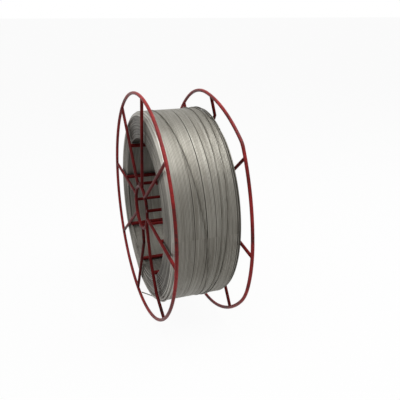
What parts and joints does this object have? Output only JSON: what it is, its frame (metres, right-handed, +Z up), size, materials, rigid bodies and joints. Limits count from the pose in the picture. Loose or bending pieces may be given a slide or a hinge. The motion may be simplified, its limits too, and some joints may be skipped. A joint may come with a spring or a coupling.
{
  "type": "basket spool of steel wire",
  "caption": "Red rod basket spool, standing on its rims, wound with a thick coil of fine grey steel wire that pays off as the hub turns on a spindle.",
  "frame": {"origin": "middle of the spool on its axis, in the centre of the hub", "axes": "+X along the spool's axis, towards the flange at the right of the picture; +Z up as it stands on its rims"},
  "size_m": [0.1001, 0.3, 0.3],
  "materials": {
    "red_paint": "gloss red paint on steel rod, thin and dark in the corners",
    "wire": "drawn steel wire, satin grey with a warm cast"
  },
  "bodies": {
    "root": {"left_rim": "red_paint", "right_rim": "red_paint", "left_hub_ring": "red_paint", "right_hub_ring": "red_paint", "left_spoke_1": "red_paint", "left_spoke_2": "red_paint", "left_spoke_3": "red_paint", "left_spoke_4": "red_paint", "left_spoke_5": "red_paint", "left_spoke_6": "red_paint", "left_spoke_7": "red_paint", "left_spoke_8": "red_paint", "right_spoke_1": "red_paint", "right_spoke_2": "red_paint", "right_spoke_3": "red_paint", "right_spoke_4": "red_paint", "right_spoke_5": "red_paint", "right_spoke_6": "red_paint", "right_spoke_7": "red_paint", "right_spoke_8": "red_paint", "hub_bar_1": "red_paint", "hub_bar_2": "red_paint", "hub_bar_3": "red_paint", "hub_bar_4": "red_paint", "barrel_bar_1": "red_paint", "barrel_bar_2": "red_paint", "barrel_bar_3": "red_paint", "barrel_bar_4": "red_paint", "barrel_bar_5": "red_paint", "barrel_bar_6": "red_paint", "barrel_bar_7": "red_paint", "barrel_bar_8": "red_paint", "wire_coil": "wire"}
  },
  "joints": []
}
